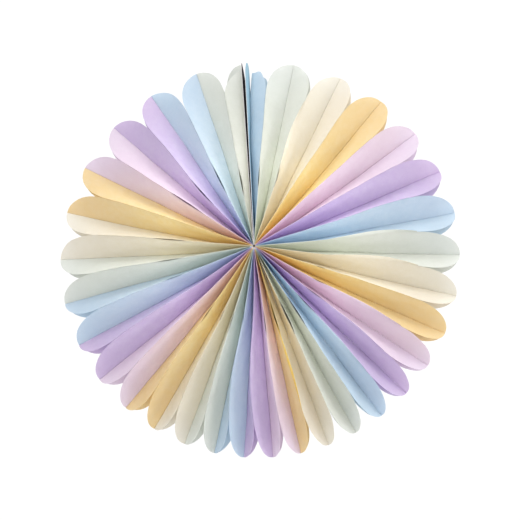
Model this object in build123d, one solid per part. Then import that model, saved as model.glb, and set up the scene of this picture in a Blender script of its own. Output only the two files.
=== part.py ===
from build123d import *
import os
from math import cos, degrees, radians, sin, sqrt

# A paper fan rosette, opened all the way round and hung upright. Thin leaves of paper run out from a
# glued spine. Each leaf is stuck to one neighbour along its middle, which makes a petal's crease, and to
# the other neighbour along both long edges, which makes the two ridges of a hollow cell. Two cover cards
# close the seam at the top.
#
# +Z is up, the open face looks along -Y, and the origin is the hanging point, between the cover cards
# just below their tips. Angles are clockwise from straight up, as seen from the front.

# Driving dimensions, in millimetres and degrees.
FAN_RADIUS = 200.0        # spine axis to a petal's tip
FAN_DEPTH = 58.0          # width of a leaf, from its front edge to its back edge
PAPER = 0.15              # thickness of a leaf
STUCK_GAP = 0.03          # what is left between the two leaves that stuck flat together
MIDDLE_BAND = 2.0         # width of the glue line along a leaf's middle
EDGE_BAND = 2.0           # width of the glue line along each long edge
FRONT_RECESS = 43.0       # how far a leaf's front corner stops short of its tip
BACK_RECESS = 34.0        # how far its back corner stops short
LEAST_RISE = 3.0          # height that the steepest leaf keeps where its cell is pulled widest

SPINE_RADIUS = 2.6        # outside of the bead of glue that holds the leaves' inner ends
SPINE_HOLE_RADIUS = 1.0   # the open middle of that bead
SPINE_ROOM = 1.1          # paper thicknesses that a leaf needs between its neighbours to start

CARD = 0.3                # thickness of a cover card
CARD_START = 3.4          # spine axis to a card's inner end
SLIT_AT_SPINE = 0.2       # open gap between the cards at the spine axis
SLIT_AT_RIM = 1.2         # and at their tips

TAPE_START = 60.0         # the closing tape between the cards, along the seam
TAPE_LENGTH = 40.0
TAPE_WIDTH = 24.0

SEAM_ANGLE = -3.5         # the seam leans a little to the left of straight up
HANGING_POINT_INSET = 8.0 # tip of the seam to the hanging point

# The fan hangs wide open at the top and bunches at the bottom, so a cell's share of the circle goes up and
# down once on the way round. A weaker wave goes twice as fast, because the sides are not quite alike.
CELLS = 31
BUNCHING = 0.31           # extra share of the widest cell
WIDEST_PLACE = -8.1       # where that wave is highest, clockwise from the seam
SIDE_BUNCHING = 0.03      # the same for the weaker wave
SIDE_PLACE = -71.0

# The stack repeats these colours, two leaves of each. The first group has one leaf, because the stack was
# cut there, and the single leaf of group 16 is doubled, because two leaves stuck flat together.
COLOURS = ("blue", "mint", "cream", "yellow", "pink", "purple")
ONE_LEAF_GROUPS = (1, 16)
DOUBLED_GROUP = 16

# A leaf's section is drawn at the spine, at these shares of the radius, at the front corner and at the tip.
STATION_SHARES = (0.35, 0.65)
TOOL_REACH = 80.0         # how far the trimming shape reaches past the leaf it trims

FRONT_CORNER_RADIUS = FAN_RADIUS - FRONT_RECESS
BACK_CORNER_RADIUS = FAN_RADIUS - BACK_RECESS
SLANT_LENGTH = (FAN_DEPTH - MIDDLE_BAND) / 2 - EDGE_BAND
SLIT_LEAN = degrees((SLIT_AT_RIM - SLIT_AT_SPINE) / 2 / FAN_RADIUS)


def place(angle, along, across, depth):
    """A point in the fan: along the ray at an angle, to the right of that ray, and towards the front."""
    a = radians(angle)
    return Vector(along * sin(a) + across * cos(a), -depth, along * cos(a) - across * sin(a))


class Leaf:
    """One leaf, folded in a zigzag between the crease on one side of it and the ridge on the other."""

    def __init__(self, crease, ridge, crease_inset=0.0, ridge_inset=0.0, middle_shift=0):
        self.bisector = (crease + ridge) / 2
        self.half = radians(abs(ridge - crease) / 2)
        self.side = 1 if ridge > crease else -1
        self.crease_inset = crease_inset / cos(self.half)
        self.ridge_inset = ridge_inset / cos(self.half)
        self.middle_shift = middle_shift
        room = PAPER * SPINE_ROOM + self.crease_inset + self.ridge_inset
        self.start = max(SPINE_RADIUS / cos(self.half), room / (2 * sin(self.half)))

    def walls(self, radius):
        """Where the crease side and the ridge side lie across the leaf, at a distance from the spine."""
        reach = radius * sin(self.half)
        return -reach + self.crease_inset, reach - self.ridge_inset

    def rise(self, radius):
        """Height of the slanting stretch, from the middle glue line to the edge glue line."""
        low, high = self.walls(radius)
        span = high - low - PAPER
        return sqrt(max(SLANT_LENGTH**2 - span**2, LEAST_RISE**2))

    def half_section(self, radius, corner_radius):
        """The zigzag from the edge to the middle: first the ridge face's points, then the crease face's."""
        low, high = self.walls(radius)
        rise = self.rise(min(radius, corner_radius))
        span = high - low - PAPER
        # both bends are mitred, so the sheet keeps its thickness through them
        mitre = PAPER * (sqrt(rise**2 + span**2) - rise) / span
        edge = MIDDLE_BAND / 2 + rise + EDGE_BAND
        middle = MIDDLE_BAND / 2 - mitre * self.middle_shift
        bend = middle + rise
        ridge_face = [(high, edge), (high, bend - mitre), (low + PAPER, middle - mitre)]
        crease_face = [(high - PAPER, edge), (high - PAPER, bend), (low, middle)]
        return ridge_face, crease_face

    def section(self, radius):
        front_ridge, front_crease = self.half_section(radius, FRONT_CORNER_RADIUS)
        back_ridge, back_crease = self.half_section(radius, BACK_CORNER_RADIUS)
        back_ridge = [(across, -depth) for across, depth in back_ridge]
        back_crease = [(across, -depth) for across, depth in back_crease]
        outline = front_ridge + back_ridge[::-1] + back_crease + front_crease[::-1]
        along = radius * cos(self.half)
        points = [place(self.bisector, along, self.side * across, depth) for across, depth in outline]
        if self.side < 0:
            points.reverse()
        return Wire.make_polygon(points, close=True)

    def fold_height(self, corner_radius):
        return MIDDLE_BAND / 2 + self.rise(corner_radius)

    def solid(self):
        stations = [self.start, *(share * FAN_RADIUS for share in STATION_SHARES)]
        stations += [FRONT_CORNER_RADIUS, FAN_RADIUS]
        strip = Solid.make_loft([self.section(radius) for radius in stations], ruled=True)
        squeeze = cos(self.half)
        heights = (self.fold_height(FRONT_CORNER_RADIUS), self.fold_height(BACK_CORNER_RADIUS))
        return strip & rounded_end(self.bisector, squeeze, *heights)


def end_profile(squeeze, front_height, back_height):
    """A wide outline whose outer end rounds over to the tip from where the paper folds up into its edges."""
    tip = FAN_RADIUS * squeeze
    front = FRONT_CORNER_RADIUS * squeeze
    back = BACK_CORNER_RADIUS * squeeze
    with BuildSketch() as sketch:
        with BuildLine():
            front_arc = EllipticalCenterArc((front, 0), tip - front, front_height, 0, arc_size=90)
            back_arc = EllipticalCenterArc((back, 0), tip - back, back_height, 270, arc_size=90)
            Polyline(
                front_arc @ 1,
                (front, TOOL_REACH),
                (-TOOL_REACH, TOOL_REACH),
                (-TOOL_REACH, -TOOL_REACH),
                (back, -TOOL_REACH),
                back_arc @ 0,
            )
        make_face()
    return sketch.sketch


def ray_plane(angle, across=0.0):
    """A plane along a ray: its X runs outwards, its Y to the front and its normal to the ray's right."""
    out = place(angle, 1, 0, 0)
    right = place(angle, 0, 1, 0)
    return Plane(origin=place(angle, 0, across, 0), x_dir=out, z_dir=right)


def rounded_end(angle, squeeze, front_height, back_height):
    """The shape that a leaf is trimmed with: its end outline, carried right through it."""
    profile = end_profile(squeeze, front_height, back_height)
    return extrude(ray_plane(angle) * profile, TOOL_REACH, both=True)


def crease_angles():
    """The petals' creases, from the seam all the way round to the seam again."""
    shares = []
    for cell in range(CELLS):
        place = 360 * (cell + 0.5) / CELLS
        wave = BUNCHING * cos(radians(place - WIDEST_PLACE))
        side_wave = SIDE_BUNCHING * cos(radians(2 * (place - SIDE_PLACE)))
        shares.append(1 + wave + side_wave)
    angles = [SEAM_ANGLE]
    for share in shares:
        angles.append(angles[-1] + share * 360 / sum(shares))
    return angles


def leaves():
    """The leaves in stack order. Each cell has a leaf on each side of its ridge."""
    card_inset = SLIT_AT_SPINE / 2 + CARD
    creases = crease_angles()
    made = []
    for left, right in zip(creases, creases[1:]):
        ridge = (left + right) / 2
        made.append([left, ridge, 0.0])
        made.append([right, ridge, 0.0])
    # the first and last leaves lie against the outsides of the cover cards
    made[0] = [creases[0] + SLIT_LEAN, made[0][1], card_inset]
    made[-1] = [creases[-1] - SLIT_LEAN, made[-1][1], card_inset]
    return made


def leaf_groups():
    """Each colour group's name and its leaves."""
    stack = leaves()
    groups = {}
    number = 0
    while stack:
        number += 1
        colour = COLOURS[(number - 1) % len(COLOURS)]
        count = 1 if number in ONE_LEAF_GROUPS else 2
        taken, stack = stack[:count], stack[count:]
        if number == DOUBLED_GROUP:
            crease, ridge, inset = taken[0]
            solids = [
                Leaf(crease, ridge, inset, PAPER + STUCK_GAP).solid(),
                Leaf(crease, ridge, inset + PAPER + STUCK_GAP, 0.0, middle_shift=1).solid(),
            ]
        else:
            solids = [Leaf(crease, ridge, inset).solid() for crease, ridge, inset in taken]
        groups[f"leaves_{number:02d}_{colour}"] = solids
    return groups


def cover_card(side):
    """A flat card down one side of the seam: side is -1 for the left one and 1 for the right one."""
    angle = SEAM_ANGLE + side * SLIT_LEAN
    length = FAN_RADIUS - CARD_START
    strip = Pos(CARD_START + length / 2, 0) * Rectangle(length, FAN_DEPTH)
    rounded_height = FAN_DEPTH / 2 - EDGE_BAND
    profile = strip & end_profile(1.0, rounded_height, rounded_height)
    across = side * (SLIT_AT_SPINE + CARD) / 2
    return extrude(ray_plane(angle, across) * profile, CARD / 2, both=True)


def closing_tape():
    """The sticky tape in the slit, which holds the two cards together and the fan open."""
    corners = []
    for side in (-1, 1):
        ends = (TAPE_START, TAPE_START + TAPE_LENGTH)
        for along in ends if side < 0 else ends[::-1]:
            angle = SEAM_ANGLE + side * SLIT_LEAN
            corners.append(place(angle, along, side * SLIT_AT_SPINE / 2, TAPE_WIDTH / 2))
    face = Face(Wire.make_polygon(corners, close=True))
    return Solid.extrude(face, Vector(0, TAPE_WIDTH, 0))


def spine_glue():
    """The bead of dried glue round the fan's axis."""
    ring = Plane.XZ * (Circle(SPINE_RADIUS) - Circle(SPINE_HOLE_RADIUS))
    return extrude(ring, FAN_DEPTH / 2, both=True)


def main():
    os.makedirs("parts", exist_ok=True)
    nodes = {name: Compound(children=solids) for name, solids in leaf_groups().items()}
    nodes["cover_card_left"] = cover_card(-1)
    nodes["cover_card_right"] = cover_card(1)
    nodes["closing_tape"] = closing_tape()
    nodes["spine_glue"] = spine_glue()
    hanging_point = place(SEAM_ANGLE, FAN_RADIUS - HANGING_POINT_INSET, 0, 0)
    for name, shape in nodes.items():
        export_step(Pos(-hanging_point) * shape, f"parts/{name}.step")
        print(name, round(shape.volume, 1), "mm3")
    print("spine axis at", [round(value, 3) for value in -hanging_point])


main()
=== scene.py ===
# %% [markdown]
# # A paper fan rosette
#
# This is a round party fan of tissue paper. A stack of 63 leaves is glued at one edge, opened all the way
# round, and closed with two cover cards at the top. Each leaf is folded in a flat zigzag: it is stuck to
# one neighbour along its middle, which makes the crease of a petal, and to the other neighbour along its
# two long edges, which makes a ridge in front and one behind.
#
# The CAD model holds the true sizes, with flat folds and no wrinkles. The script loads it as a fixed
# frame, reads every place from it, and makes softer leaves in the same places.

# %% Load the frame
from math import asin, atan2, cos, degrees, exp, pi, radians, sin, sqrt

import bmesh
import bpy
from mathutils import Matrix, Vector, noise


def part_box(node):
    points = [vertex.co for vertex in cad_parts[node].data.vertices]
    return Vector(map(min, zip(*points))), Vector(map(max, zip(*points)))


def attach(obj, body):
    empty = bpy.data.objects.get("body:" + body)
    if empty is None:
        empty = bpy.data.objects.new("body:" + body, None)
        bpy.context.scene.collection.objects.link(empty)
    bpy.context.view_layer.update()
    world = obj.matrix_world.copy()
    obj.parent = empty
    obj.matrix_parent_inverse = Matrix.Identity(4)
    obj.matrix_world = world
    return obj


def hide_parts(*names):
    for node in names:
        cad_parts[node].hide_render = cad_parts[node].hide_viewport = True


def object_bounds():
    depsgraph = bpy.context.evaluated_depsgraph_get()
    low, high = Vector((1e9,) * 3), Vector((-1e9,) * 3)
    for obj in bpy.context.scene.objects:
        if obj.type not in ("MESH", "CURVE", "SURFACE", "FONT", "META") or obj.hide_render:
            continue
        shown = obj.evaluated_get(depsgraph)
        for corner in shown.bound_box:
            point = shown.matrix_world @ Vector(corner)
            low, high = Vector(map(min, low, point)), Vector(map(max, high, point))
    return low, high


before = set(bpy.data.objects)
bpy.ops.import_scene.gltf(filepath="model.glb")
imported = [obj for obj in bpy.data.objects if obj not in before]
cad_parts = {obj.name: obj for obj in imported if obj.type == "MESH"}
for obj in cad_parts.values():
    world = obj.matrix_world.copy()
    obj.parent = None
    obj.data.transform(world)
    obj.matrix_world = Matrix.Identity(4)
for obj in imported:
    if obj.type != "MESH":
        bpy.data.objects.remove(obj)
cad_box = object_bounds()
MM = 0.001
print(len(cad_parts), "nodes, box", [tuple(round(c / MM, 1) for c in corner) for corner in cad_box])

# %% [markdown]
# Everything in a fan is easiest to place in polar terms: how far round it is, how far out from the
# spine, and how far towards the front. The spine is where the bead of glue is. The origin is the hanging
# point on the seam, so the seam's direction is the one from the spine to the origin.

# %% The spine and the seam
glue_low, glue_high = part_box("spine_glue")
SPINE = (glue_low + glue_high) / 2
SPINE_RADIUS = (glue_high.x - glue_low.x) / 2
SEAM = atan2(-SPINE.x, -SPINE.z)
HALF_WIDTH = (cad_box[1].y - cad_box[0].y) / 2


def ray(angle):
    """The unit direction outwards at an angle, clockwise from the seam as seen from the front."""
    return Vector((sin(SEAM + angle), 0, cos(SEAM + angle)))


def beside(angle):
    """The unit direction clockwise of the ray at an angle."""
    return Vector((cos(SEAM + angle), 0, -sin(SEAM + angle)))


def round_spine(point):
    """How far round from the seam, how far out, and how far forward a point lies."""
    flat = point - SPINE
    angle = (atan2(flat.x, flat.z) - SEAM) % (2 * pi)
    return angle, sqrt(flat.x**2 + flat.z**2), -flat.y


print("seam leans", round(degrees(SEAM), 2), "degrees, leaves are", round(2 * HALF_WIDTH / MM, 1), "mm wide")

# %% [markdown]
# A petal's tip is the farthest point of two leaves, on the glue line down their middle. The tips of the
# CAD leaves give the angle of every crease. Each ridge is midway between two creases. The angles could
# be typed in again, but then a change in the CAD model would leave the leaves behind.

# %% The creases and ridges of the frame
leaf_nodes = sorted(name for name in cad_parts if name.startswith("leaves_"))
spots = {name: [round_spine(v.co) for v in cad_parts[name].data.vertices] for name in leaf_nodes}
FAN_RADIUS = max(out for found in spots.values() for angle, out, forward in found)
TIP_SHARE = 0.998
TIP_BAND = 1.1 * MM
SAME_TIP = radians(1)
tip_angles = sorted(
    angle for found in spots.values() for angle, out, forward in found
    if out > TIP_SHARE * FAN_RADIUS and abs(forward) < TIP_BAND
)
groups_of_tips = [[tip_angles[0]]]
for angle in tip_angles[1:]:
    if angle - groups_of_tips[-1][-1] > SAME_TIP:
        groups_of_tips.append([])
    groups_of_tips[-1].append(angle)
creases = [sum(group) / len(group) for group in groups_of_tips]
creases[0] = 0.0
creases[-1] = 2 * pi
ridges = [(a + b) / 2 for a, b in zip(creases, creases[1:])]
print(len(creases), "creases and", len(ridges), "ridges, radius", round(FAN_RADIUS / MM, 1), "mm")

# %% [markdown]
# The colours of the stack change after every second leaf or so, and the leaves of one colour that lie
# side by side are one CAD node. Each leaf is known here by its crease and its ridge, so the angle
# halfway between the two tells which node it stands for.


# %% Which node each leaf belongs to
def node_at(angle):
    """The leaf node that spans this angle."""
    for name, found in spots.items():
        far = [spot[0] for spot in found if spot[1] > FAN_RADIUS / 2]
        if min(far) < angle < max(far):
            return name
    raise ValueError("no leaf spans this angle")


leaves = []
for number, ridge in enumerate(ridges):
    leaves.append((number, number, node_at((creases[number] + ridge) / 2)))
    leaves.append((number + 1, number, node_at((creases[number + 1] + ridge) / 2)))
print(len(leaves), "leaves, the first in", leaves[0][2], "and the last in", leaves[-1][2])

# %% [markdown]
# Real leaves never lie quite straight. Each crease and each ridge wanders a little from side to side,
# and the leaf on either side of it has to follow the same line, or gaps would open at the glue. So the
# wandering belongs to the line, not to the leaf: a smooth noise with a seed of its own. It fades out
# towards the spine, where the glue holds every leaf.

# %% How the lines wander
WANDER = {"crease": 0.9 * MM, "ridge": 1.2 * MM}
SEEDS = {"crease": 11.3, "ridge": 47.9}
SEED_STEP = 7.31
SLOW_LENGTH = 70 * MM
QUICK_LENGTH = 17 * MM
QUICK_SHARE = 0.28
FREE_FROM_SPINE = 80 * MM
# The third coordinate keeps the noises of one line apart.
FRONT_LAYER = 0.4
BACK_LAYER = 5.2
QUICK_LAYER = 9.7


def wander(kind, number, out, forward):
    """How far a crease or ridge strays clockwise from its straight ray."""
    seed = SEEDS[kind] + SEED_STEP * number
    slow = noise.noise(Vector((out / SLOW_LENGTH, seed, FRONT_LAYER if forward > 0 else BACK_LAYER)))
    quick = noise.noise(Vector((out / QUICK_LENGTH, seed, QUICK_LAYER)))
    grip = min(1.0, out / FREE_FROM_SPINE) ** 2
    return WANDER[kind] * grip * (slow + QUICK_SHARE * quick)


print("lines wander by about", [round(reach / MM, 1) for reach in WANDER.values()], "mm")

# %% [markdown]
# The slack of several leaves can push the front ridges of one region the same way. A noise can't place
# that, so each sway is a soft hill with a place and a strength: the angle and the distance out where it
# is strongest, how far round it reaches, and how far it pushes the ridges clockwise there.

# %% How the front ridges sway
SWAYS = (
    (radians(187), 122 * MM, radians(10), 5.5 * MM),
    (radians(225), 130 * MM, radians(38), 1.8 * MM),
    (radians(88), 135 * MM, radians(26), -3.2 * MM),
    (radians(326), 75 * MM, radians(14), -3.0 * MM),
)
SWAY_LENGTH = 45 * MM


def swayed(angle, out):
    """How far clockwise a front ridge is pushed by the slack of the leaves around it."""
    push = 0.0
    for at, far, spread, amount in SWAYS:
        off = (angle - at + pi) % (2 * pi) - pi
        push += amount * exp(-(off / spread) ** 2 - ((out - far) / SWAY_LENGTH) ** 2)
    return push


print(len(SWAYS), "sways")

# %% [markdown]
# Some front ridges have a stretch near the spine that the glue missed, and the two edges gape there. A
# slit could be cut out of the paper, but a real one is only a gap between two sheets, so both leaves of
# a ridge stand back from it by half of its width.

# %% The slits that the glue missed
# For each ridge: where its slit starts and ends, out from the spine, and how wide it gapes, in millimetres.
SLITS = {
    0: (56, 82, 1.0), 1: (62, 86, 0.9), 8: (62, 72, 0.8), 9: (62, 80, 0.9), 10: (62, 88, 1.0),
    11: (57, 94, 1.1), 12: (55, 94, 1.3), 13: (55, 94, 1.7), 14: (51, 90, 1.4), 15: (62, 87, 1.0),
    17: (64, 76, 0.7), 18: (65, 86, 0.8), 19: (65, 81, 0.8), 20: (65, 90, 1.1), 23: (72, 94, 0.9),
    24: (70, 98, 1.0), 25: (64, 102, 1.1), 27: (58, 102, 1.4), 28: (56, 94, 1.2), 29: (58, 96, 1.3),
    30: (50, 80, 1.3),
}
# Only the last part of a leaf, from this share of its width on, follows the slit.
GAPE_FROM = 0.6


def gape(number, out):
    """Half of the gap between the two edges of a ridge that the glue missed near the spine."""
    start, end, width = SLITS.get(number, (0, 0, 0))
    if not start * MM < out < end * MM:
        return 0.0
    return width / 2 * MM * sin(pi * (out / MM - start) / (end - start))


print(len(SLITS), "slits")

# %% [markdown]
# Across a leaf, the paper leaves the crease straight up, bends over towards the ridge, and straightens
# again into the glued edge. If it is pulled wide, the slope is flatter and the bends are tight. The
# section is worked out so that the paper keeps its length: a bend whose slope grows evenly follows the
# area under a circle's arc.

# %% The section across a leaf
LOOSEST_BEND = 0.08
TIGHTEST_BEND = 0.01
WIDEST_PULL = 0.985
LEAST_SLOPE = 1e-4


def arc_area(t):
    """The area under a unit circle's arc, from its top to t."""
    return (t * sqrt(1 - t * t) + asin(t)) / 2


def section(x, ratio):
    """Shares of the span and of the paper's length gained in width and in height, x of the way across."""
    ratio = min(ratio, WIDEST_PULL)
    bend = max(TIGHTEST_BEND, LOOSEST_BEND * (1 - ratio) ** 2)
    steep = max(ratio / (1 - bend), LEAST_SLOPE)
    corner = bend / steep * arc_area(steep)
    slope = sqrt(1 - steep * steep)
    if x < bend:
        return x * x / (2 * bend * (1 - bend)), bend / steep * arc_area(steep * x / bend)
    if x < 1 - bend:
        return (x - bend / 2) / (1 - bend), corner + (x - bend) * slope
    height = 2 * corner + (1 - 2 * bend) * slope - bend / steep * arc_area(steep * (1 - x) / bend)
    return 1 - (1 - x) ** 2 / (2 * bend * (1 - bend)), height


print("a half-open leaf rises", round(section(1, 0.5)[1], 3), "of its paper")

# %% [markdown]
# A leaf starts as a flat grid. One way of the grid becomes the way out from the spine, the other the way
# across the paper, and every point is moved to its place in the fold. The columns crowd together at the
# glue lines and at the rounded end, where the shape turns quickest.

# %% Where the columns of the grid go
GLUE_LINE = 0.35 * MM
EDGE_BAND = 2.0 * MM
WIDE_EDGE_BAND = 3.6 * MM
SLANT_COLUMNS = 15
BAND_COLUMNS = 3
HALF_COLUMNS = 1 + SLANT_COLUMNS + BAND_COLUMNS
ROWS = 46


def paper_place(column, edge_band):
    """How far from the middle of the paper a column lies."""
    if column <= 1:
        return column * GLUE_LINE
    slant_end = HALF_WIDTH - edge_band
    if column <= 1 + SLANT_COLUMNS:
        share = (1 - cos(pi * (column - 1) / SLANT_COLUMNS)) / 2
        return GLUE_LINE + (slant_end - GLUE_LINE) * share
    share = sin(pi / 2 * (column - 1 - SLANT_COLUMNS) / BAND_COLUMNS)
    return slant_end + edge_band * share


print(ROWS + 1, "by", 2 * HALF_COLUMNS + 1, "points in a leaf")

# %% [markdown]
# The outer end of a leaf is cut round: it reaches farthest at the crease and falls back to its two
# edges. One power curve gives such an end, and it is a little different in front and behind.

# %% The round outer ends
FRONT_RECESS = 43.0 * MM
BACK_RECESS = 34.0 * MM
FRONT_ROUNDNESS = 2.12
BACK_ROUNDNESS = 2.25


def rounding(share, power):
    """How much of its recess an end has lost at this share of the way from its tip to its corner."""
    return 1 - (1 - share**power) ** (1 / power)


def end_of_paper(place, edge_band, front):
    """How far out the paper reaches at this distance from its middle: the end rounds over to its edges."""
    recess = FRONT_RECESS if front else BACK_RECESS
    roundness = FRONT_ROUNDNESS if front else BACK_ROUNDNESS
    share = min(1.0, place / (HALF_WIDTH - edge_band))
    return FAN_RADIUS - recess * rounding(share, roundness)


print("the front edges end", round(FRONT_RECESS / MM), "mm short of the tips")

# %% [markdown]
# The first leaf, to the right of the seam, is torn off short. It could be cut with a Boolean, but the
# grid only has to end sooner: a lower, ragged limit takes the place of the round end where it is nearer.

# %% The torn end of the first leaf
TORN_OFF = 13.0 * MM
TORN_PEAK = 4.0 * MM
TORN_PEAK_WIDTH = 3 * MM
TORN_NOTCH = 2.5 * MM
TORN_DEPTH = 16.0 * MM
RAGGEDNESS = 1.6 * MM
RAGGED_LENGTH = 3.5 * MM


def torn_end(place):
    """The end of the first leaf, which is torn off: lowest beside the card, with a peak next to that."""
    past_notch = max(0.0, place - TORN_NOTCH)
    peak = TORN_PEAK * exp(-(past_notch / TORN_PEAK_WIDTH) ** 2)
    notch = TORN_DEPTH * max(0.0, 1 - place / TORN_NOTCH)
    ragged = RAGGEDNESS * noise.noise(Vector((place / RAGGED_LENGTH, 2.7, 8.1)))
    return FAN_RADIUS - TORN_OFF + peak - notch + ragged


print("the first leaf is torn off", round(TORN_OFF / MM), "mm below its tip")

# %% [markdown]
# Two thin cards close the fan at the seam. A double-sided tape holds them together up to about half
# way, and past it they bow apart. The leaves beside them have to follow, so the bow is a function that
# the cards and the leaves share.

# %% How the cards stand apart
SHEET = 0.10 * MM
CARD = 0.30 * MM
TAPE_END = 102 * MM
SLIT_AT_SPINE = 0.15 * MM
SLIT_GROWTH = 1.55 * MM
CARD_BOWS = {-1: 0.5 * MM, 1: 2.0 * MM}
BOW_LENGTH = 35 * MM
BOW_POWER = 1.5


def card_bow(side, out, forward_share):
    """How far a cover card's inner face stands from the seam. Past the tape the card bows away from it."""
    loose = min(1.0, max(0.0, (out - TAPE_END) / BOW_LENGTH)) ** BOW_POWER
    flat = SLIT_AT_SPINE + SLIT_GROWTH * out / FAN_RADIUS
    return flat + loose * CARD_BOWS[side] * (1 - forward_share * forward_share)


rim_gap = card_bow(-1, FAN_RADIUS, 0) + card_bow(1, FAN_RADIUS, 0)
print("the cards are", round(rim_gap / MM, 1), "mm apart where they bow most")

# %% [markdown]
# Now a leaf can be folded. Its crease side stays on the crease line, its ridge side on the ridge line,
# and the section fills in what is between. The two leaves of a ridge need not be equally wide, so the
# wider one, which rises less, sets the ridge's height for both. A cloth simulation could do all this,
# but it would move the creases away from their places in the frame.
#
# Some glued edges are pressed over to one side and show as a narrow strip. The torn leaf peels away
# from its card towards the rim. And the first and the last leaf lie flat against their cards in front
# before they turn over to their ridges.

# %% The fold
# How far over each leaning edge lies, as a share of a full lean. A minus is against the clock.
LEANING_RIDGES = {1: -1.0, 6: -1.0, 7: -1.0, 9: -0.6, 10: -0.5, 11: -0.5, 14: -0.5}
FULL_LEAN = radians(75)
LEAN_FROM = 70 * MM
LEAN_FADE = 50 * MM
TORN_OFF_START = 160 * MM
TORN_GAP = 4.2 * MM
# How much of its way over to the ridge the first and the last leaf spend against their cards.
FIRST_AGAINST_CARD = 0.40
LAST_AGAINST_CARD = 0.62
LEAF_START = SPINE_RADIUS / 2
# Each kind of wrinkle: its size, its length along the leaf and its length across it.
BROAD_WRINKLE = (0.95 * MM, 34 * MM, 13 * MM)
FINE_WRINKLE = (0.24 * MM, 11 * MM, 7 * MM)
FINE_SEED = 3.1
WRINKLED_FROM = 60 * MM
FIRST_CREASE = 0
LAST_CREASE = len(creases) - 1


class Fold:
    """One leaf's place between its crease and its ridge."""

    def __init__(self, crease, ridge, seed):
        self.crease = crease
        self.ridge = ridge
        self.seed = seed
        self.start = creases[crease]
        self.end = ridges[ridge]
        self.way = 1 if self.end > self.start else -1
        self.edge_band = WIDE_EDGE_BAND if ridge in LEANING_RIDGES else EDGE_BAND
        self.slant = HALF_WIDTH - self.edge_band - GLUE_LINE
        self.lean = FULL_LEAN * abs(LEANING_RIDGES.get(ridge, 0.0))
        self.lean_way = -1 if LEANING_RIDGES.get(ridge, 0.0) < 0 else 1
        against = {FIRST_CREASE: FIRST_AGAINST_CARD, LAST_CREASE: LAST_AGAINST_CARD}
        self.against_card = against.get(crease, 0.0)

    def inset(self, out):
        """How far the crease side keeps off the crease line: past the cover card, for a leaf beside one."""
        if self.crease == FIRST_CREASE:
            loose = max(0.0, (out - TORN_OFF_START) / (FAN_RADIUS - TORN_OFF_START))
            return card_bow(1, out, 0.0) + CARD + SHEET + TORN_GAP * loose
        if self.crease == LAST_CREASE:
            return card_bow(-1, out, 0.0) + CARD + SHEET
        return SHEET

    def crease_line(self, crease, out, forward):
        """The point of a crease at this distance from the spine. The two at the seam are straight."""
        angle = creases[crease]
        if crease in (FIRST_CREASE, LAST_CREASE):
            return ray(angle) * out
        return ray(angle) * out + beside(angle) * wander("crease", crease, out, forward)

    def ridge_line(self, out, forward):
        """The point below a ridge at this distance from the spine."""
        sway = wander("ridge", self.ridge, out, forward)
        if forward > 0:
            sway += swayed(self.end, out)
        return ray(self.end) * out + beside(self.end) * sway

    def walls(self, out, forward):
        """The crease side, the ridge side and the ridge's height, from the wider of its two leaves."""
        high = self.ridge_line(out, forward)
        low = self.crease_line(self.crease, out, forward)
        both_sides = (self.ridge, self.ridge + 1)
        widest = max((high - self.crease_line(crease, out, forward)).length for crease in both_sides)
        across = (high - low).normalized()
        height = GLUE_LINE + section(1, (widest - 2 * SHEET) / self.slant)[1] * self.slant
        return low, high - across * SHEET, across, height

    def wrinkle(self, out, place, share):
        """How far the sheet stands off its clean fold. It is still at the glue lines."""
        size, length, breadth = BROAD_WRINKLE
        fine_size, fine_length, fine_breadth = FINE_WRINKLE
        shape = Vector((out / length, place / breadth, self.seed))
        fine = Vector((out / fine_length, place / fine_breadth, self.seed + FINE_SEED))
        calm = sin(pi * min(1.0, max(0.0, share))) * min(1.0, out / WRINKLED_FROM)
        return calm * (size * noise.noise(shape) + fine_size * noise.noise(fine))

    def lean_grip(self, out):
        """A leaning edge stands up again towards the spine and towards its outer end."""
        inner = min(1.0, max(0.0, (out - LEAN_FROM) / LEAN_FADE))
        outer = min(1.0, max(0.0, (FAN_RADIUS - FRONT_RECESS - out) / LEAN_FADE))
        return inner * sin(pi / 2 * outer)

    def point(self, along, column):
        """A point of the sheet, from its share of the way out and its column."""
        front = column >= 0
        forward = 1 if front else -1
        place = paper_place(abs(column), self.edge_band)
        end = end_of_paper(place, self.edge_band, front)
        if self.crease == FIRST_CREASE:
            end = min(end, torn_end(place))
        out = LEAF_START + (end - LEAF_START) * along
        low, high, across, ridge_height = self.walls(out, forward)
        low += across * self.inset(out)
        span = (high - low).length
        share = (place - GLUE_LINE) / self.slant
        if share <= 0:
            width, height = 0.0, place
        elif share <= 1:
            width, rise = section(share, span / self.slant)
            height = GLUE_LINE + (ridge_height - GLUE_LINE) * rise / section(1, span / self.slant)[1]
        else:
            width, height = 1.0, ridge_height
        if front:
            width = max(0.0, width - self.against_card) / (1 - self.against_card)
        spot = low + (high - low) * width
        if share > 1:
            beyond = place - GLUE_LINE - self.slant
            lean = self.lean * self.lean_grip(out) if front else 0.0
            height += beyond * cos(lean) + self.way * self.lean_way * SHEET * sin(lean)
            sideways = self.lean_way * beyond * sin(lean) - self.way * SHEET * (cos(lean) - 1)
            spot += beside(self.end) * sideways
        else:
            spot += across * self.wrinkle(out, place, share)
        if front and share > GAPE_FROM:
            spot -= across * gape(self.ridge, out) * min(1.0, (share - GAPE_FROM) / (1 - GAPE_FROM))
        return SPINE + spot + Vector((0, -forward * height, 0))


print(len(LEANING_RIDGES), "leaning edges")

# %% [markdown]
# Each leaf is one sheet without thickness at first. A grid from bmesh has its corners in even rows, so a
# corner's place in the grid says which row and column it belongs to. One glued edge near the bottom is a
# stronger yellow than the rest: its faces get a second material.

# %% One leaf as a sheet
# The ridge whose glued front edge is a stronger yellow.
BRIGHT_EDGE = 14
PLAIN_SLOT = 0
BRIGHT_SLOT = 1
HAIR = 0.01 * MM


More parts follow.
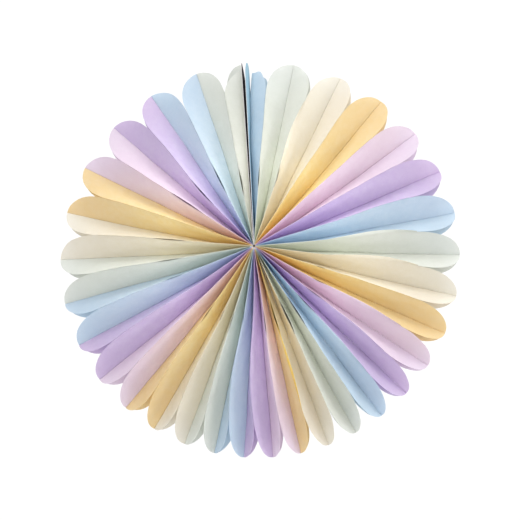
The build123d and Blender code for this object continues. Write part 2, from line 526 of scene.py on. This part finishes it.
def sheet_of(fold):
    """A bmesh of one leaf as a single sheet."""
    sheet = bmesh.new()
    bmesh.ops.create_grid(sheet, x_segments=ROWS, y_segments=2 * HALF_COLUMNS, size=1)
    band_start = HALF_WIDTH - fold.edge_band - HAIR
    for face in sheet.faces:
        column = int(face.calc_center_median().y * HALF_COLUMNS)
        glued = column > 0 and paper_place(column, fold.edge_band) > band_start
        face.material_index = BRIGHT_SLOT if glued and fold.ridge == BRIGHT_EDGE else PLAIN_SLOT
    for vert in sheet.verts:
        along = (vert.co.x + 1) / 2
        column = round(vert.co.y * HALF_COLUMNS)
        vert.co = fold.point(along, column)
    return sheet


# %% [markdown]
# The leaves of one CAD node become one piece. The sheets are joined in one mesh, each is given its
# thickness by a Solidify modifier, and smooth shading hides the small faces. The cut edges of the paper
# are marked sharp, so that the shading doesn't run round them.

# %% Helpers that make pieces
def piece_from(mesh_data, name, finish, slot, *nodes):
    """A finished piece at the origin that rides on the body and stands for its CAD nodes."""
    for edge in mesh_data.edges:
        if edge.is_boundary:
            edge.smooth = False
    mesh = bpy.data.meshes.new(name)
    mesh_data.to_mesh(mesh)
    mesh_data.free()
    piece = bpy.data.objects.new(name, mesh)
    bpy.context.scene.collection.objects.link(piece)
    mesh.materials.append(finish)
    for face in mesh.polygons:
        face.use_smooth = True
    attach(piece, "root")
    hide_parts(*nodes)
    return piece


def thicken(piece, thickness):
    """Gives a sheet its thickness, half to each side, and returns the modifier."""
    wall = piece.modifiers.new("thickness", "SOLIDIFY")
    wall.thickness = thickness
    wall.offset = 0
    return wall


# %% [markdown]
# ## Paper
#
# Dyed tissue is matt and lets light through. A Principled shader gives the reflecting half and a
# Translucent shader the half that light shines through. Shader sums are written as Python: a small class
# wraps a socket, so that `mask * 0.4` adds a Math node.

# %% Shader sums
class Flow:
    """A value that flows through a material's nodes."""

    def __init__(self, tree, socket=None):
        self.tree = tree
        self.socket = socket

    def node(self, kind, links, output=0, **settings):
        """Adds a node: its settings first, then a value or a link for each socket named."""
        made = self.tree.nodes.new("ShaderNode" + kind)
        for name, value in settings.items():
            setattr(made, name, value)
        for name, value in links.items():
            if isinstance(value, Flow):
                self.tree.links.new(value.socket, made.inputs[name])
            else:
                made.inputs[name].default_value = value
        return Flow(self.tree, made.outputs[output] if made.outputs else None)

    def maths(self, operation, first, second):
        """Adds a Math node."""
        return self.node("Math", {0: first, 1: second}, operation=operation)

    def __add__(self, other):
        return self.maths("ADD", self, other)

    def __mul__(self, other):
        return self.maths("MULTIPLY", self, other)

    def __pow__(self, other):
        return self.maths("POWER", self, other)

    __radd__ = __add__
    __rmul__ = __mul__

    def clamped(self, low, high):
        """Turned into a share from 0 to 1 as it goes from low to high."""
        return self.node("MapRange", {0: self, 1: low, 2: high, 3: 0.0, 4: 1.0})

    def mix(self, first, second, blend="MIX"):
        """A mix of two colours, with this as the share of the second."""
        links = {0: self, 6: first, 7: second}
        return self.node("Mix", links, 2, data_type="RGBA", blend_type=blend)


def new_material(name):
    """An empty material and the flow that fills it."""
    material = bpy.data.materials.new(name)
    material.use_nodes = True
    material.node_tree.nodes.clear()
    return material, Flow(material.node_tree)


def put_out(flow, surface):
    """Ends a material's flow in its surface."""
    flow.node("OutputMaterial", {"Surface": surface})


# %% [markdown]
# Near the spine the cells are deep and narrow, and light that has bounced from leaf to leaf has taken up
# more dye. Part of that comes from the bounces themselves. The rest is painted: each dye has a pale colour
# for the rim and a deep one for the middle, mixed by the distance from the spine. Closest to the spine the
# colour is multiplied by the deep one once more, as painted shade.
#
# Tissue is never even, so three noises go over the dye: pale clouds, broad soft shades, and the fine
# pulp. The light that comes through is evened out by the paper. So there are two Translucent shaders, each
# with one plain colour, the mean of what the noises make of the deep or the pale dye, and they are mixed
# by the same distance.

# %% The paper finishes
# For each dye, its colour at the rim and a deeper one near the spine, which is the dye with the painted
# shade and bounced light of the narrow cells.
DYES_AND_PAINTED_SHADE = {
    "blue": ((0.69, 0.79, 0.86), (0.62, 0.75, 0.84)),
    "mint": ((0.82, 0.84, 0.80), (0.78, 0.80, 0.70)),
    "cream": ((0.89, 0.87, 0.80), (0.86, 0.785, 0.59)),
    "yellow": ((0.89, 0.765, 0.48), (0.90, 0.74, 0.34)),
    "pink": ((0.86, 0.79, 0.86), (0.85, 0.70, 0.80)),
    "purple": ((0.76, 0.66, 0.82), (0.67, 0.56, 0.80)),
    "edge": ((0.93, 0.74, 0.16), (0.90, 0.68, 0.16)),
}
WHITE = (1, 1, 1, 1)
SHADE = (0.80, 0.76, 0.80, 1)
# The most that each noise does, and the part of the noise that it follows. A noise's own mean is a half.
CLOUDS = 0.14
SHADES = 0.10
PULP = 0.12
SOFT_RANGE = (0.35, 0.65)
PULP_RANGE = (0.35, 0.7)
MEAN_NOISE = 0.5


def mean_share(low, high):
    """The mean of a noise after it is turned into a share from low to high."""
    return (MEAN_NOISE - low) / (high - low)


def evened(dye, deep):
    """A dye without its mottling, for the light that comes through the paper."""
    colour = []
    for tint, dark, shade in zip(dye, deep, SHADE):
        tint += (1 - tint) * CLOUDS * mean_share(*SOFT_RANGE)
        tint *= 1 - (1 - shade) * SHADES * mean_share(*SOFT_RANGE)
        colour.append(tint * (1 - (1 - dark) * PULP * mean_share(*PULP_RANGE)))
    return (*colour, 1)


def paper_finish(name):
    """Dyed tissue that lets more light through towards the rim, with painted shade deepening its colour
    towards the spine.
    """
    pale, deep = DYES_AND_PAINTED_SHADE[name]
    material, flow = new_material("paper_" + name)
    place = flow.node("TexCoord", {}, "Object")
    middle = flow.node("VectorMath", {0: place, 1: SPINE}, operation="SUBTRACT")
    flat = flow.node("VectorMath", {0: middle, 1: (1, 0, 1)}, operation="MULTIPLY")
    out = flow.node("VectorMath", {0: flat}, "Value", operation="LENGTH") * (1 / FAN_RADIUS)
    cloud = flow.node("TexNoise", {"Vector": place, "Scale": 170.0, "Detail": 3.0, "Roughness": 0.6})
    grain = flow.node("TexNoise", {"Vector": place, "Scale": 1400.0, "Detail": 2.0, "Roughness": 0.7})
    broad = flow.node("TexNoise", {"Vector": place, "Scale": 38.0, "Detail": 2.0})
    pulp = flow.node("TexNoise", {"Vector": place, "Scale": 520.0, "Detail": 3.0, "Roughness": 0.65})
    rim = out.clamped(0.25, 0.95) ** 1.5
    # Painted shade: near the spine the colour is multiplied by the deep dye once more.
    hub = out.clamped(0.24, 0.05) * 0.4
    dye_and_painted_shade = hub.mix(rim.mix((*deep, 1), (*pale, 1)), (*deep, 1), "MULTIPLY")
    mottled = (cloud.clamped(*SOFT_RANGE) * CLOUDS).mix(dye_and_painted_shade, WHITE)
    mottled = (broad.clamped(*SOFT_RANGE) * SHADES).mix(mottled, SHADE, "MULTIPLY")
    mottled = (pulp.clamped(*PULP_RANGE) * PULP).mix(mottled, (*deep, 1), "MULTIPLY")
    bump = flow.node("Bump", {"Height": grain + cloud * 2.5, "Strength": 0.25, "Distance": 0.0003})
    paper = flow.node("BsdfPrincipled", {
        "Base Color": mottled, "Roughness": 0.78, "Specular IOR Level": 0.25, "Normal": bump,
    })
    deep_glow = flow.node("BsdfTranslucent", {"Color": evened(deep, deep)})
    pale_glow = flow.node("BsdfTranslucent", {"Color": evened(pale, deep)})
    glow = flow.node("MixShader", {0: rim, 1: deep_glow, 2: pale_glow})
    see_through = out.clamped(0.45, 0.9) * 0.42 + out.clamped(0.10, 0.30) * 0.08
    put_out(flow, flow.node("MixShader", {0: see_through, 1: paper, 2: glow}))
    return material


papers = {name: paper_finish(name) for name in DYES_AND_PAINTED_SHADE if name != "edge"}
bright_edge_paper = paper_finish("edge")
print(len(papers), "paper finishes and one for the bright edge")

# %% [markdown]
# ## Cards, tape and glue
#
# The two cover cards are thin pale card. The faces that look at each other across the seam are made nearly
# black: painted shade for the narrow slit between them. On its other side the right card is lined with blue,
# darkened with painted shade, which shows where the torn leaf leaves it bare, and the left card is plain.
# The cut edges show pale. One function makes every card finish, because only the colour and the gloss
# differ.

# %% The card finishes
# Painted shade: the seam faces are nearly black for the shade in the slit, and the lining blue is darkened
# for the shade beside the seam.
SEAM_SHADE_BLACK = (0.026, 0.007, 0.022)
PALE_CARD = (0.80, 0.77, 0.77)
LINING_BLUE_AND_SHADE = (0.30, 0.47, 0.56)


def card_finish(name, colour, roughness):
    """Matt card with a faint fibre."""
    material, flow = new_material(name)
    place = flow.node("TexCoord", {}, "Object")
    fibre = flow.node("TexNoise", {"Vector": place, "Scale": 900.0, "Detail": 3.0})
    tint = (fibre * 0.02).mix((*colour, 1), WHITE)
    bump = flow.node("Bump", {"Height": fibre, "Strength": 0.15, "Distance": 0.0001})
    card = flow.node("BsdfPrincipled", {
        "Base Color": tint, "Roughness": roughness, "Specular IOR Level": 0.12, "Normal": bump,
    })
    put_out(flow, card)
    return material


seam_shade_finish = card_finish("card_painted_seam_shade", SEAM_SHADE_BLACK, 0.7)
plain_card = card_finish("cover_card", PALE_CARD, 0.75)
shaded_blue_lining = card_finish("card_lining_blue_and_shade", LINING_BLUE_AND_SHADE, 0.8)
print("card finishes:", seam_shade_finish.name, plain_card.name, shaded_blue_lining.name)

# %% [markdown]
# Dried glue is a little glossier than paper, and lumpy. The tape is flat and nearly hidden between the
# cards, so its CAD solid stays in view as it is and only gets a finish of the same kind in off-white.

# %% The glue and tape finishes
GLUE_BROWN = (0.085, 0.055, 0.04)
TAPE_WHITE = (0.80, 0.78, 0.74)


def glue_finish(name, colour, roughness):
    """Dried glue with soft pale lumps."""
    material, flow = new_material(name)
    place = flow.node("TexCoord", {}, "Object")
    lumps = flow.node("TexNoise", {"Vector": place, "Scale": 600.0, "Detail": 2.0})
    tint = (lumps.clamped(0.3, 0.7) * 0.3).mix((*colour, 1), WHITE)
    bump = flow.node("Bump", {"Height": lumps, "Strength": 0.3, "Distance": 0.0003})
    glue = flow.node("BsdfPrincipled", {
        "Base Color": tint, "Roughness": roughness, "Specular IOR Level": 0.4, "Normal": bump,
    })
    put_out(flow, glue)
    return material


def repaint(node, material):
    """Gives a CAD node a finish and leaves its shape as it is."""
    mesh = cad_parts[node].data
    mesh.materials.clear()
    mesh.materials.append(material)


repaint("closing_tape", glue_finish("closing_tape", TAPE_WHITE, 0.5))
dried_glue = glue_finish("spine_glue", GLUE_BROWN, 0.4)
print("the tape is repainted and the glue finish is", dried_glue.name)

# %% [markdown]
# A cover card is a strip with a round outer end, like a leaf. It is stiff enough to stand straight, so
# it is a grid laid along the seam and pushed out by the bow. A Solidify modifier makes its thickness and
# gives the second face and the cut rim the next materials in the list. The first face is the one that
# looks clockwise: into the seam on the left card, and out to the leaves on the right one.

# %% The cover cards
CARD_START = 1.5 * MM
CARD_RECESS = 25.0 * MM
CARD_ROUNDNESS = 2.4
CARD_TRIMS = {-1: 3.5 * MM, 1: 4.0 * MM}
CARD_ROWS = 60
CARD_COLUMNS = 24


def cover_card(side):
    """One card as a bowed sheet: side is -1 for the left one and 1 for the right one."""
    sheet = bmesh.new()
    bmesh.ops.create_grid(sheet, x_segments=CARD_ROWS, y_segments=CARD_COLUMNS, size=1)
    for vert in sheet.verts:
        forward_share = sin(pi / 2 * vert.co.y)
        end = FAN_RADIUS - CARD_TRIMS[side] - CARD_RECESS * rounding(abs(forward_share), CARD_ROUNDNESS)
        out = CARD_START + (end - CARD_START) * (vert.co.x + 1) / 2
        off = card_bow(side, out, forward_share) + CARD / 2
        forward = Vector((0, -HALF_WIDTH * forward_share, 0))
        vert.co = SPINE + ray(0) * out + beside(0) * side * off + forward
    return sheet


cards = ((-1, "card_left", seam_shade_finish, plain_card), (1, "card_right", shaded_blue_lining, seam_shade_finish))
for side, name, clockwise_face, other_face in cards:
    piece = piece_from(cover_card(side), name, clockwise_face, "cover_card", "cover_" + name)
    piece.data.materials.append(other_face)
    piece.data.materials.append(plain_card)
    wall = thicken(piece, CARD)
    wall.material_offset = 1
    wall.material_offset_rim = 2
print(len(cards), "cover cards")

# %% [markdown]
# The glue at the spine is a dark bead that runs nearly the whole depth of the fan. A sphere is drawn out
# into a blunt rod, and a noise makes it lumpy.

# %% The glue at the spine
GLUE_RADIUS = 1.3 * MM
GLUE_END = 26 * MM
GLUE_WIDENESS = 0.8
GLUE_TALLNESS = 1.35
BLUNTNESS = 8
LUMP_SIZE = 0.22
LUMPS_PER_RADIUS = 2.3
bead = bmesh.new()
bmesh.ops.create_icosphere(bead, subdivisions=4, radius=1)
for vert in bead.verts:
    lump = 1 + LUMP_SIZE * noise.noise(vert.co * LUMPS_PER_RADIUS + Vector((0, 0, 4)))
    crown = (1 - abs(vert.co.y) ** BLUNTNESS) ** (1 / BLUNTNESS)
    flat = Vector((vert.co.x, vert.co.z)).normalized() * crown * lump * GLUE_RADIUS
    vert.co = SPINE + Vector((flat.x * GLUE_WIDENESS, vert.co.y * GLUE_END, flat.y * GLUE_TALLNESS))
piece_from(bead, "dried_glue", dried_glue, "spine_glue", "spine_glue")
print("glue bead", round(2 * GLUE_END / MM), "mm deep")

# %% [markdown]
# ## The leaves
#
# Every CAD leaf node gets its paper piece. The CAD model has one leaf more than there are sheets here:
# two of its leaves are stuck flat together, and they are a single sheet.

# %% Make the leaves
CREASE_SEED = 3.7
RIDGE_SEED = 1.9
for node in leaf_nodes:
    joined = bmesh.new()
    bright = False
    for crease, ridge, owner in leaves:
        if owner == node:
            sheet = sheet_of(Fold(crease, ridge, crease * CREASE_SEED + ridge * RIDGE_SEED))
            bright = bright or ridge == BRIGHT_EDGE
            part = bpy.data.meshes.new("sheet")
            sheet.to_mesh(part)
            sheet.free()
            joined.from_mesh(part)
            bpy.data.meshes.remove(part)
    colour = node.split("_")[-1]
    name = node.replace("leaves", "paper")
    piece = piece_from(joined, name, papers[colour], "paper_" + colour, node)
    if bright:
        piece.data.materials.append(bright_edge_paper)
    thicken(piece, SHEET)
print(len(leaf_nodes), "paper pieces")

# %% [markdown]
# ## The studio
#
# The fan hangs a little above the eye, seen nearly straight on and from slightly below. The camera is
# set by its distance, its turn and its tilt from a point near the spine, which are easier to change than
# a place and a rotation.

# %% Camera
CAMERA_DISTANCE = 650 * MM
CAMERA_YAW = radians(4.0)
CAMERA_PITCH = radians(-9.0)
LENS = 45.05
AIM = SPINE + Vector((3.9, 0, -9.2)) * MM
camera_data = bpy.data.cameras.new("camera")
camera_data.lens = LENS
camera = bpy.data.objects.new("camera", camera_data)
towards = Vector((
    sin(CAMERA_YAW) * cos(CAMERA_PITCH), -cos(CAMERA_YAW) * cos(CAMERA_PITCH), sin(CAMERA_PITCH)))
camera.location = AIM + towards * CAMERA_DISTANCE
camera.rotation_euler = (-towards).to_track_quat("-Z", "Y").to_euler()
bpy.context.scene.collection.objects.link(camera)
bpy.context.scene.camera = camera
print("camera", round(CAMERA_DISTANCE / MM), "mm away")

# %% [markdown]
# Paper looks thin when light reaches it from all round. A bright sky above and a dimmer, cooler one
# below fill the cells, and three soft lights shape them: one from above, one from the front and one from
# the right. The camera sees a plain white instead of the sky. Light bounces many times between the
# leaves, so more bounces than usual are kept.


# %% Lights and background
def soft_light(name, place, size, power):
    """A round area light that looks at the spine, with its size in metres and its power in watts."""
    data = bpy.data.lights.new(name, "AREA")
    data.shape = "DISK"
    data.size = size
    data.energy = power
    light = bpy.data.objects.new(name, data)
    light.location = place
    light.rotation_euler = (SPINE - Vector(place)).to_track_quat("-Z", "Y").to_euler()
    bpy.context.scene.collection.objects.link(light)


soft_light("key", (0.15, -0.45, 0.80), 0.8, 5.1)
soft_light("front", (0, -1.4, -0.20), 1.1, 8.2)
soft_light("side", (1.20, -0.35, -0.19), 0.8, 5.1)

SKY_BELOW = (0.29, 0.28, 0.32, 1)
SKY_ABOVE = (1.17, 1.17, 1.18, 1)
BACKDROP = 1.05
LIGHT_BOUNCES = 10
world = bpy.data.worlds.new("studio")
bpy.context.scene.world = world
world.use_nodes = True
world.node_tree.nodes.clear()
air = Flow(world.node_tree)
seen = air.node("LightPath", {}, "Is Camera Ray")
way = air.node("TexCoord", {}, "Generated")
height = air.node("SeparateXYZ", {0: way}, 2)
sky = height.clamped(-0.6, 0.9).mix(SKY_BELOW, SKY_ABOVE)
fill = air.node("Background", {"Color": sky, "Strength": 1.0})
behind = air.node("Background", {"Color": WHITE, "Strength": BACKDROP})
air.node("OutputWorld", {"Surface": air.node("MixShader", {0: seen, 1: fill, 2: behind})})
bpy.context.scene.view_settings.view_transform = "Standard"
bpy.context.scene.cycles.diffuse_bounces = LIGHT_BOUNCES
print("three lights and a sky")

# %% [markdown]
# The floor is a plain pale disc well below the fan. It belongs to the studio, so it is staged and isn't
# a part of the object.

# %% Floor
FLOOR_RADIUS = 1.3
FLOOR_DROP = 1.1
floor_mesh = bmesh.new()
bmesh.ops.create_circle(floor_mesh, cap_ends=True, segments=64, radius=FLOOR_RADIUS)
bmesh.ops.translate(floor_mesh, verts=floor_mesh.verts, vec=(0, 0, -FLOOR_DROP))
floor_data = bpy.data.meshes.new("floor")
floor_mesh.to_mesh(floor_data)
floor_mesh.free()
floor_object = bpy.data.objects.new("floor", floor_data)
bpy.context.scene.collection.objects.link(floor_object)
floor_material, floor_flow = new_material("floor")
put_out(floor_flow, floor_flow.node("BsdfPrincipled", {"Base Color": (0.9, 0.9, 0.9, 1), "Roughness": 0.9}))
floor_data.materials.append(floor_material)
print("floor", FLOOR_DROP, "m below the hanging point")

# %% [markdown]
# Last, the view layer is brought up to date.

# %% Sizes
bpy.context.view_layer.update()
